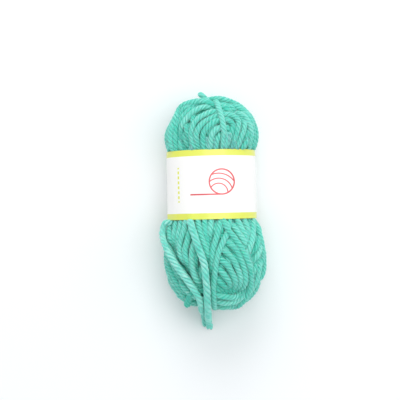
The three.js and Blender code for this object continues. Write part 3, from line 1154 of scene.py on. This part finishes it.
@dataclass(frozen=True)
class GlossyPaper:
    """Coated label paper: bright white with a lime stripe printed along each edge, and a soft gloss.

    On its face is a plain line drawing of a ball with its strand running off, and a row of stitches beside
    it. Places and sizes are in metres from the middle of the band's face.
    """

    band: Band
    white: str = "f9f7f4"
    lime: str = "e3e75c"
    coral: str = "dc4c53"
    line: float = 0.9 * MM
    wrap_line: float = 0.72 * MM
    soft: float = 0.08 * MM  # how far printed edges blur to either side
    ball: tuple[float, float] = (6.0 * MM, 1.5 * MM)
    ball_radius: float = 7.5 * MM
    wraps_from: tuple[float, float] = (-2.0 * MM, -6.5 * MM)  # from the ball to its wraps' middle
    wraps: tuple[float, ...] = (5.5 * MM, 8.5 * MM, 11.5 * MM, 14.5 * MM)
    strand_end: float = -13.0 * MM
    stitches: float = -20.0 * MM
    stitch: float = 3.0 * MM  # from one to the next
    stitch_width: float = 1.0 * MM
    stitched: float = 10.5 * MM  # how far the row goes to either side
    grain: float = 1.4 * MM

    def material(self) -> bpy.types.Material:
        """Builds the material: stripes by their distance from the band's edges, and faint calendering."""
        m = MaterialMaker("coated_label_paper")
        place = m.node("ShaderNodeTexCoord")
        parts = m.node("ShaderNodeSeparateXYZ", in_Vector=place.outputs["Object"])
        centre = float(self.band.middle[1])
        reach = float(self.band.half[1]) - self.band.stripe
        shifted = m.node("ShaderNodeMath", operation="SUBTRACT", in_0=parts.outputs["Y"], in_1=centre)
        away = m.node("ShaderNodeMath", operation="ABSOLUTE", in_0=shifted.outputs[0])
        edge = 0.05 * MM
        striped = m.node("ShaderNodeMapRange", in_Value=away.outputs[0], in_1=reach - edge, in_2=reach + edge)
        drawn, sewn = self._drawing(m, parts)
        colour = srgb(self.white)
        for ink, code in ((striped.outputs[0], self.lime), (drawn, self.coral), (sewn, self.lime)):
            mix = m.node("ShaderNodeMix", data_type="RGBA", in_0=ink, in_6=colour, in_7=srgb(code))
            colour = mix.outputs[2]
        m.feed("Base Color", colour)
        grain = m.node(
            "ShaderNodeTexNoise", in_Vector=place.outputs["Object"], in_Scale=1 / self.grain, in_Detail=4.0
        )
        relief = 0.05 * MM
        bump = m.node("ShaderNodeBump", in_Strength=0.06, in_Distance=relief, in_Height=grain.outputs[0])
        m.feed("Normal", bump.outputs[0])
        m.fix(Roughness=0.42, Coat_Weight=0.5, Coat_Roughness=0.16)
        return m.material

    def _drawing(
        self, m: MaterialMaker, parts: bpy.types.Node
    ) -> tuple[bpy.types.NodeSocket, bpy.types.NodeSocket]:
        """Lays out the line drawing and the stitches.

        Args:
            m: the material.
            parts: the node that gives the place's X, Y and Z.

        Returns:
            Where the drawing's ink is, and where the stitches' ink is, from 0 to 1.
        """
        Value = bpy.types.NodeSocket | float

        def maths(operation: str, first: Value, second: Value = 0.0) -> bpy.types.NodeSocket:
            """Adds a maths node and gives its output."""
            return m.node("ShaderNodeMath", operation=operation, in_0=first, in_1=second).outputs[0]

        def near(value: bpy.types.NodeSocket, target: float, reach: float) -> bpy.types.NodeSocket:
            """Gives 1 where a value is within reach of its target, with a soft edge."""
            away = maths("ABSOLUTE", maths("SUBTRACT", value, target))
            inner, outer = reach - self.soft, reach + self.soft
            edge = m.node("ShaderNodeMapRange", in_Value=away, in_1=inner, in_2=outer, in_3=1.0, in_4=0.0)
            return edge.outputs[0]

        def distance(x0: float, y0: float) -> bpy.types.NodeSocket:
            """Gives the distance to a point of the band's face."""
            point = (x0, y0, 0.0)
            measured = m.node("ShaderNodeVectorMath", operation="DISTANCE", in_0=flat.outputs[0], in_1=point)
            return measured.outputs["Value"]

        middle = self.band.middle
        x = maths("SUBTRACT", parts.outputs["X"], float(middle[0]))
        y = maths("SUBTRACT", parts.outputs["Y"], float(middle[1]))
        flat = m.node("ShaderNodeCombineXYZ", in_X=x, in_Y=y)
        face = maths("GREATER_THAN", parts.outputs["Z"], float(middle[2]))
        to_ball = distance(*self.ball)
        inside = maths("LESS_THAN", to_ball, self.ball_radius)
        ink = near(to_ball, self.ball_radius, self.line / 2)
        to_wraps = distance(self.ball[0] + self.wraps_from[0], self.ball[1] + self.wraps_from[1])
        for radius in self.wraps:
            ink = maths("MAXIMUM", ink, maths("MULTIPLY", near(to_wraps, radius, self.wrap_line / 2), inside))
        level = near(y, self.ball[1] - self.ball_radius, self.line / 2)
        run_middle = (self.ball[0] + self.strand_end) / 2
        strand = maths("MULTIPLY", level, near(x, run_middle, self.ball[0] - run_middle))
        ink = maths("MAXIMUM", ink, strand)
        row = maths("MULTIPLY", near(x, self.stitches, self.stitch_width / 2), near(y, 0.0, self.stitched))
        gap = 0.2 * self.stitch
        stitched = maths("GREATER_THAN", maths("PINGPONG", y, self.stitch / 2), gap)
        return maths("MULTIPLY", ink, face), maths("MULTIPLY", maths("MULTIPLY", row, stitched), face)


class EndSide(Enum):
    """Which of the two loose ends."""

    FRONT = "front_loose_end"
    SIDE = "side_loose_end"


@dataclass(frozen=True)
class LooseEnd:
    """A free end of the yarn, not drawn tight, whose four plies open at the cut."""

    side: EndSide
    thickness: float
    route: Polyline  # the middle line, as in the CAD source
    tucked: Polyline  # its last stretch under the band, which the CAD solid leaves out
    lay: float = 14.0 * MM
    plies: int = 4
    ply_radius: float = 0.25  # this and the next against the thickness
    ply_offset: float = 0.26
    opened: float = 0.22  # how much further out the plies lie at the cut
    uneven_cut: float = 0.9 * MM
    tapered: float = 3.2 * MM
    hollow_shade: float = 0.28  # how wide the painted shade of each hollow between plies is, in turns round a ply
    sides: int = 8
    step: float = 1.0 * MM
    frayed: float = 6.0 * MM

    def line(self) -> np.ndarray:
        """Gives the middle line's points in metres, from under the band to the tip."""
        corners = np.array(self.tucked + self.route, float) * MM
        return evenly(curve_through(corners), self.step)

    def build(self, finish: bpy.types.Material) -> bpy.types.Object:
        """Args:
            finish: the yarn's material.

        Returns:
            The loose end.
        """
        line = self.line()
        tangent = unit(np.gradient(line, axis=0))
        upward = transported(tangent, np.array([0.3, 0.2, 1.0]))
        across = np.cross(tangent, upward)
        along = np.arange(len(line)) * self.step
        left = along[-1] - along
        open_share = smoothstep(1 - left / self.frayed)
        radius = self.ply_radius * self.thickness
        width = radius * (1 - 0.15 * smoothstep(1 - left / self.tapered))
        ring = np.column_stack([np.arange(self.sides) / self.sides * 2 * math.pi, np.ones(self.sides)])
        rng = np.random.default_rng(5 if self.side is EndSide.FRONT else 6)
        parts = MeshParts()
        for ply in range(self.plies):
            angle = -2 * math.pi * (ply / self.plies + along / self.lay)
            offset = self.ply_offset * self.thickness * (1 + self.opened * open_share * rng.uniform(0.6, 1.3))
            outward = np.cos(angle)[:, None] * upward + np.sin(angle)[:, None] * across
            centre = line + offset[:, None] * outward
            centre[:, 2] = np.maximum(centre[:, 2], radius * 0.95)
            keep = left >= rng.uniform(0, self.uneven_cut) * (ply > 0)
            vertices, quads, uvs = sweep(centre[keep], upward[keep], ring, angle[keep], width[keep])
            # painted shade: V is laid out so that the yarn material darkens each ply towards the hollows
            # beside it
            from_crown = np.abs((uvs[:, 1] + 0.5) % 1 - 0.5) / self.hollow_shade
            uvs[:, 1] = np.clip(1 - from_crown, 0, 1) / (2 * self.plies)
            parts.add(vertices, quads, uvs, tones=rng.uniform(-0.04, 0.06))
        made = parts.build(self.side.value + "_plies", finish)
        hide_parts(self.side.value)
        return made


FRONT_END = LooseEnd(
    EndSide.FRONT,
    4.4 * MM,
    route=(
        (-13.6, -11.7, 52.0), (-12.7, -15.2, 54.3), (-11.3, -19.8, 56.3), (-9.9, -24.3, 57.1),
        (-8.6, -28.4, 57.4), (-7.2, -32.6, 57.6), (-6.1, -36.4, 57.7), (-5.6, -40.4, 57.8),
        (-5.4, -44.4, 57.5), (-5.1, -48.2, 56.4), (-4.8, -51.7, 54.8), (-4.8, -55.2, 53.2),
        (-4.7, -59.1, 51.2), (-4.5, -62.9, 48.9), (-4.4, -66.2, 45.2), (-4.4, -68.4, 40.2),
        (-4.4, -69.8, 34.6), (-4.4, -70.7, 28.6), (-4.3, -71.4, 22.6), (-4.2, -72.3, 16.6),
        (-4.1, -73.6, 11.6), (-3.9, -75.6, 8.3), (-3.6, -78.0, 6.6), (-3.2, -80.7, 6.0),
    ),
    tucked=((-14.7, -4.6, 43.2), (-14.5, -8.6, 44.2), (-14.2, -11.0, 46.2), (-13.9, -11.8, 49.0)),
)
SIDE_END = LooseEnd(
    EndSide.SIDE,
    4.0 * MM,
    route=(
        (-29.3, -11.8, 35.4), (-30.5, -14.4, 34.7), (-31.2, -18.0, 35.7), (-30.6, -21.7, 39.2),
        (-29.3, -25.4, 43.2), (-27.8, -28.8, 45.8), (-26.0, -32.1, 47.8), (-24.0, -35.4, 49.7),
        (-21.8, -38.7, 51.0), (-19.7, -41.7, 51.9), (-17.6, -44.4, 52.5), (-15.7, -47.1, 52.8),
        (-14.0, -49.7, 53.0), (-12.3, -52.1, 52.8), (-10.8, -54.6, 52.0), (-9.6, -57.0, 50.8),
        (-8.9, -59.6, 49.3), (-8.5, -62.0, 47.0), (-8.3, -64.0, 43.8), (-8.1, -65.2, 39.5),
        (-7.9, -66.0, 34.5), (-7.7, -66.8, 29.5), (-7.5, -67.2, 24.0), (-7.3, -67.6, 18.0),
        (-7.2, -68.3, 12.0), (-7.1, -69.6, 7.2), (-6.9, -71.8, 3.8), (-6.6, -74.4, 2.3), (-6.2, -77.0, 2.1),
        (-5.6, -79.6, 2.1),
    ),
    tucked=((-22.6, -4.6, 35.4), (-24.0, -8.6, 35.6), (-25.6, -11.2, 35.7)),
)


@dataclass(frozen=True)
class StrayEnd:
    """A short stretch of yarn that slips out between the turns and pokes out of the ball."""

    route: Polyline  # in millimetres
    thickness: float
    tone: float
    step: float = 0.8 * MM
    blunt: float = 0.93  # how far its tip closes

    def add(self, parts: MeshParts, yarn: Yarn) -> None:
        """Sweeps it.

        Args:
            parts: where it is added.
            yarn: the yarn that it is of.
        """
        line = evenly(curve_through(np.array(self.route, float) * MM), self.step)
        along = np.arange(len(line)) * self.step
        into_tip = 1 - (along[-1] - along) / (0.4 * self.thickness)
        widths = self.thickness / 2 * np.sqrt(1 - np.clip(into_tip, 0, self.blunt) ** 2)
        upward = transported(unit(np.gradient(line, axis=0)), np.array([0.2, 0.1, 1.0]))
        swept = sweep(line, upward, yarn.ring(), -2 * math.pi * along / yarn.lay, widths)
        parts.add(*swept, tones=self.tone)


STRAY_ENDS = (
    StrayEnd(
        ((2.5, 57.0, 30), (-0.5, 61.0, 34), (-3.0, 64.0, 36.5), (-5.2, 65.9, 37.4), (-7.2, 67.0, 37.2)),
        3.5 * MM,
        0.0,
    ),
    StrayEnd(
        (
            (-9.0, -46.0, 41), (-12.0, -50.4, 46), (-14.2, -54.6, 44.5), (-15.9, -58.6, 40.0),
            (-17.4, -62.8, 34.5),
        ),
        4.4 * MM,
        # painted shade: a tone of -0.2 draws this end darker, as it lies in shade
        -0.2,
    ),
)


@dataclass
class WoundYarn:
    """The wound ball: every strand swept as plied yarn, over a core that closes the gaps between them."""

    form: WoundForm
    yarn: Yarn
    band: Band
    core_depth: float = 7.0 * MM
    core_rows: int = 48
    core_columns: int = 72
    piece_limit: int = 190000
    largest_strand: int = 8000  # triangles
    # painted shade: how much darker a strand is drawn where it lies deep among the others
    painted_depth_shade: float = 0.16
    swelling: float = 0.035  # how much a strand's thickness comes and goes along it
    swelling_length: float = 23 * MM
    under_band: float = 5 * MM  # how far strands are followed under the paper
    seed: int = 3
    triangles: int = 0
    paths: list[StrandPath] = field(default_factory=list)

    def build(self, finish: bpy.types.Material) -> list[bpy.types.Object]:
        """Winds the yarn and makes its pieces.

        Args:
            finish: the yarn's material.

        Returns:
            The pieces: the strands in a few joined meshes, and the core.
        """
        winding = Winding(self.form, self.yarn)
        winding.wind()
        rng = np.random.default_rng(self.seed)
        pieces = []
        parts = MeshParts()
        for stray in STRAY_ENDS:
            stray.add(parts, self.yarn)
        for strand in winding.strands:
            line = winding.line(strand, self.band)
            self._sweep_strand(parts, strand, line, rng)
            self.paths.append((line, strand.radius, strand.seen))
            if parts.triangles() > self.piece_limit - self.largest_strand:
                pieces.append(self._piece(parts, len(pieces), finish))
                parts = MeshParts()
        pieces.append(self._piece(parts, len(pieces), finish))
        pieces.append(self._core(finish))
        for piece in pieces:
            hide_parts(self.form.node)
        log.info("wound %d strands, %d triangles", len(winding.strands), self.triangles)
        return pieces

    def _piece(self, parts: MeshParts, number: int, finish: bpy.types.Material) -> bpy.types.Object:
        """Makes one joined mesh of strands."""
        made = parts.build(f"wound_turns_{number + 1}", finish)
        self.triangles += parts.triangles()
        return made

    def _sweep_strand(
        self, parts: MeshParts, strand: Strand, line: np.ndarray, rng: np.random.Generator
    ) -> None:
        """Sweeps one strand's lobed section along its line.

        Args:
            parts: where it is added.
            strand: which strand.
            line: its middle line.
            rng: for its tone and its small unevenness.
        """
        ring = self.yarn.ring()
        along = distances(line)
        length = along[-1] + (np.linalg.norm(line[0] - line[-1]) if strand.closed else 0)
        turns = length / self.yarn.lay
        turns = max(1, round(turns)) if strand.closed else turns
        twist = -2 * math.pi * (turns * along / length + rng.uniform())
        wave = 2 * math.pi * (max(2, round(length / self.swelling_length)) * along / length + rng.uniform())
        widths = strand.radius * self.yarn.fullness * (1 + self.swelling * np.sin(wave))
        outward = self.form.outward(strand.q)
        # a random tone of its own, plus painted shade: strands pressed deep among the others are darker,
        # those standing proud a little lighter
        tone = rng.uniform(-0.07, 0.05) + self.painted_depth_shade * np.minimum(strand.height / (5 * MM), 0.2)
        if strand.closed:
            line, outward, widths, tone = (
                np.concatenate([each, each[:1]]) for each in (line, outward, widths, tone)
            )
            twist = np.append(twist, twist[0] - 2 * math.pi * turns)
        shown = self._shown(strand, line)
        edges = np.flatnonzero(np.diff(np.concatenate([[0], shown.astype(int), [0]])))
        for start, end in zip(edges[::2], edges[1::2]):
            if end - start > 3:
                piece = slice(start, end)
                swept = sweep(line[piece], outward[piece], ring, twist[piece], widths[piece])
                ends = tone[[start, end - 1]]
                parts.add(*swept, tones=np.append(np.repeat(tone[piece], len(ring)), ends))

    def _shown(self, strand: Strand, line: np.ndarray) -> np.ndarray:
        """Tells which points of a strand can be seen: those not buried by others and clear of the band.

        Args:
            strand: which.
            line: its middle line.

        Returns:
            Whether each point is kept.
        """
        seen = np.append(strand.seen, strand.seen[0]) if strand.closed else strand.seen
        y = line[:, 1]
        hidden = (y > self.band.low[1] + self.under_band) & (y < self.band.high[1] - self.under_band)
        shown = seen & ~hidden
        for _ in range(2):
            shown = shown | np.roll(shown, 1) | np.roll(shown, -1)
        return shown

    def _core(self, finish: bpy.types.Material) -> bpy.types.Object:
        """Models what lies below the strands that show, as a ball drawn in from the form.

        Args:
            finish: the yarn's material.

        Returns:
            The object.
        """
        columns = self.core_columns
        latitudes = np.linspace(-math.pi / 2, math.pi / 2, self.core_rows + 1)[1:-1]
        longitudes = np.arange(columns) / columns * 2 * math.pi
        q = np.vstack([self.form.direction(latitude, longitudes) for latitude in latitudes])
        q = np.vstack([q, [[0, -1, 0]], [[0, 1, 0]]])
        points = self.form.surface(q) - self.core_depth * self.form.outward(q)
        last_row = (self.core_rows - 2) * columns
        near, far = len(points) - 2, len(points) - 1
        faces = tube_faces(self.core_rows - 1, columns)[:, [0, 3, 2, 1]].tolist()
        faces += [(near, j, (j + 1) % columns) for j in range(columns)]
        faces += [(far, last_row + (j + 1) % columns, last_row + j) for j in range(columns)]
        # painted shade: the core's UV map stays at 0, where the yarn material paints the full shade of a
        # hollow between plies, so it shows dark in the gaps between strands
        return yarn_object("inner_turns", points, faces, finish)


@dataclass
class LooseFibres:
    """The bloom on spun acrylic: fine fibre ends that stand off the strands and soften every edge."""

    form: WoundForm
    band: Band
    count: int = 9000
    thickness: float = 0.075 * MM
    shortest: float = 1.2 * MM
    longest: float = 3.6 * MM
    spans: int = 2
    sides: int = 3
    widest: float = 1.2  # how far round its strand from the outermost line a fibre starts, in radians
    rooted: float = 0.9  # how far out it starts, against the strand's radius
    leans: tuple[float, float] = (0.35, 1.5)  # how far along the strand it goes for how far it stands off
    scatter: float = 0.35
    bows: tuple[float, float] = (0.15, 0.6)  # how far it bends aside, against its length
    tone: float = 0.12
    middle_of_ply: float = 0.125  # as V of the yarn's UV map, at a ply's crown, clear of the painted shade between plies
    off_the_ground: float = 0.1 * MM
    seed: int = 21

    def build(self, paths: list[StrandPath], finish: bpy.types.Material) -> bpy.types.Object:
        """Scatters the fibres over the strands.

        Args:
            paths: each strand's middle line, radius, and where it is seen.
            finish: the yarn's material.

        Returns:
            The fibres, joined.
        """
        rng = np.random.default_rng(self.seed)
        centres, aside, second = self._lay(*self._pick(paths, rng), rng)
        angle = np.arange(self.sides) / self.sides * 2 * math.pi
        ring = np.cos(angle)[None, :, None] * aside[:, None] + np.sin(angle)[None, :, None] * second[:, None]
        widths = self.thickness / 2 * (1 - 0.5 * np.linspace(0, 1, self.spans + 1))
        vertices = (centres[:, :, None] + widths[None, :, None, None] * ring[:, None]).reshape(-1, 3)
        vertices[:, 2] = np.maximum(vertices[:, 2], self.off_the_ground)
        first = np.arange(self.count)[:, None] * (self.spans + 1) * self.sides
        walls = (first[:, None] + tube_faces(self.spans + 1, self.sides)).reshape(-1, 4)
        k = np.arange(self.sides)
        caps = (first + k[::-1]).tolist() + (first + self.spans * self.sides + k).tolist()
        made = yarn_object("loose_fibres", vertices, walls.tolist() + caps, finish)
        places = np.tile([0.0, self.middle_of_ply], (len(made.data.loops), 1))
        dress(made, places, np.full(len(vertices), self.tone))
        return made

    def _pick(
        self, paths: list[StrandPath], rng: np.random.Generator
    ) -> tuple[np.ndarray, np.ndarray, np.ndarray]:
        """Picks where the fibres start.

        Args:
            paths: each strand's middle line, radius, and where it is seen.
            rng: for the choice.

        Returns:
            For each fibre its strand's middle, direction and radius there.
        """
        roots, tangents, radii = [], [], []
        for line, radius, seen in paths:
            clear = (line[:, 1] < self.band.low[1] - 1 * MM) | (line[:, 1] > self.band.high[1] + 1 * MM)
            keep = seen & clear
            roots.append(line[keep])
            tangents.append(unit(np.gradient(line, axis=0))[keep])
            radii.append(np.full(int(keep.sum()), radius))
        roots, tangents, radii = np.vstack(roots), np.vstack(tangents), np.concatenate(radii)
        picked = rng.integers(len(roots), size=self.count)
        return roots[picked], tangents[picked], radii[picked]

    def _lay(
        self, root: np.ndarray, tangent: np.ndarray, radius: np.ndarray, rng: np.random.Generator
    ) -> tuple[np.ndarray, np.ndarray, np.ndarray]:
        """Bends each fibre off its strand.

        Args:
            root: the strands' middles.
            tangent: the strands' directions.
            radius: the strands' radii.
            rng: for the fibres' shapes.

        Returns:
            The fibres' points, the direction in which each bends, and one across that and across the fibre.
        """
        one_each = (self.count, 1)
        outward = unit((root - self.form.middle) / self.form.half**2)
        across = unit(np.cross(tangent, outward))
        turn = rng.uniform(-self.widest, self.widest, one_each)
        side = np.cos(turn) * outward + np.sin(turn) * across
        start = root + side * radius[:, None] * self.rooted + tangent * rng.uniform(-0.6, 0.6, one_each) * MM
        lean = rng.uniform(*self.leans, one_each) * rng.choice([-1, 1], one_each)
        ahead = unit(side + lean * tangent + rng.normal(0, self.scatter, (self.count, 3)))
        aside = unit(np.cross(ahead, rng.normal(size=(self.count, 3))))
        length = rng.uniform(self.shortest, self.longest, one_each)
        bow = rng.uniform(*self.bows, one_each)
        steps = np.linspace(0, 1, self.spans + 1)
        centres = np.stack([start + ahead * length * t + aside * length * bow * t * t for t in steps], axis=1)
        return centres, aside, np.cross(ahead, aside)


@dataclass(frozen=True)
class PhotoCamera:
    """A camera almost straight above the ball, a little towards its loose ends, in a square frame."""

    place: tuple[float, float, float] = (-7.9 * MM, -8.5 * MM, 655.5 * MM)
    field_of_view: float = 22.33  # degrees across the frame
    tilt: float = 0.96  # degrees from straight down, towards the ball's far end
    roll: float = 1.4  # degrees that the ball's length leans to the left in the frame

    def build(self) -> None:
        """Makes the camera and sets it as the scene's."""
        data = bpy.data.cameras.new("camera")
        data.sensor_fit = "HORIZONTAL"
        data.sensor_width = 36
        data.angle = math.radians(self.field_of_view)
        data.clip_start = 10 * MM
        camera = bpy.data.objects.new("camera", data)
        bpy.context.collection.objects.link(camera)
        roll = Matrix.Rotation(-math.radians(self.roll), 4, "Z")
        tilt = Matrix.Rotation(math.radians(self.tilt), 4, "X")
        camera.matrix_world = Matrix.Translation(self.place) @ (roll @ tilt)
        bpy.context.scene.camera = camera


@dataclass(frozen=True)
class Studio:
    """A white sheet under soft light that comes mostly from beyond the ball's far left."""

    floor_colour: str = "f4f5f6"
    floor_size: float = 3.0
    air_colour: str = "f3f7fa"
    air_strength: float = 0.64
    aim: tuple[float, float, float] = (0.0, 0.0, 0.03)  # where the lights face, the middle of the ball

    def build(self) -> None:
        """Makes the floor, the lights and the surroundings."""
        deselect()
        bpy.ops.mesh.primitive_plane_add(size=self.floor_size, location=(0, 0, 0))
        floor = bpy.context.object
        floor.name = "white_sheet"
        m = MaterialMaker("matt_white_card")
        m.fix(Base_Color=srgb(self.floor_colour), Roughness=0.9, Specular_IOR_Level=0.1)
        floor.data.materials.append(m.material)
        self._light("window", (-0.1, 0.95, 0.85), 0.8, 6.3)
        self._light("overhead", (0.25, 0.1, 1.45), 1.0, 7.6)
        self._light("fill", (0.9, 0.0, 0.9), 0.9, 1.5)
        world = bpy.data.worlds.new("surroundings")
        world.use_nodes = True
        background = world.node_tree.nodes["Background"]
        background.inputs["Color"].default_value = srgb(self.air_colour)
        background.inputs["Strength"].default_value = self.air_strength
        bpy.context.scene.world = world
        bpy.context.scene.view_settings.view_transform = "Standard"

    def _light(self, name: str, place: tuple[float, float, float], size: float, power: float) -> None:
        """Hangs one soft square light that faces the ball.

        Args:
            name: its name.
            place: where it hangs, in metres.
            size: its side, in metres.
            power: in watts.
        """
        data = bpy.data.lights.new(name, "AREA")
        data.size = size
        data.energy = power
        light = bpy.data.objects.new(name, data)
        light.location = place
        towards = Vector(self.aim) - Vector(place)
        light.rotation_euler = towards.to_track_quat("-Z", "Y").to_euler()
        bpy.context.collection.objects.link(light)


def main() -> None:
    """Builds the ball, its band and its loose ends, and the studio round them."""
    logging.basicConfig(level=logging.INFO, format="%(name)s %(message)s")
    PhotoCamera().build()
    yarn = Yarn()
    finish = AcrylicYarn(yarn).material()
    pieces = [end.build(finish) for end in (FRONT_END, SIDE_END)]
    band = Band()
    pieces.append(band.build())
    form = WoundForm()
    wound = WoundYarn(form, yarn, band)
    pieces += wound.build(finish)
    pieces.append(LooseFibres(form, band).build(wound.paths, finish))
    for piece in pieces:
        log.info("%s: %d faces", piece.name, len(piece.data.polygons))
    Studio().build()


if __name__ == "__main__":
    main()
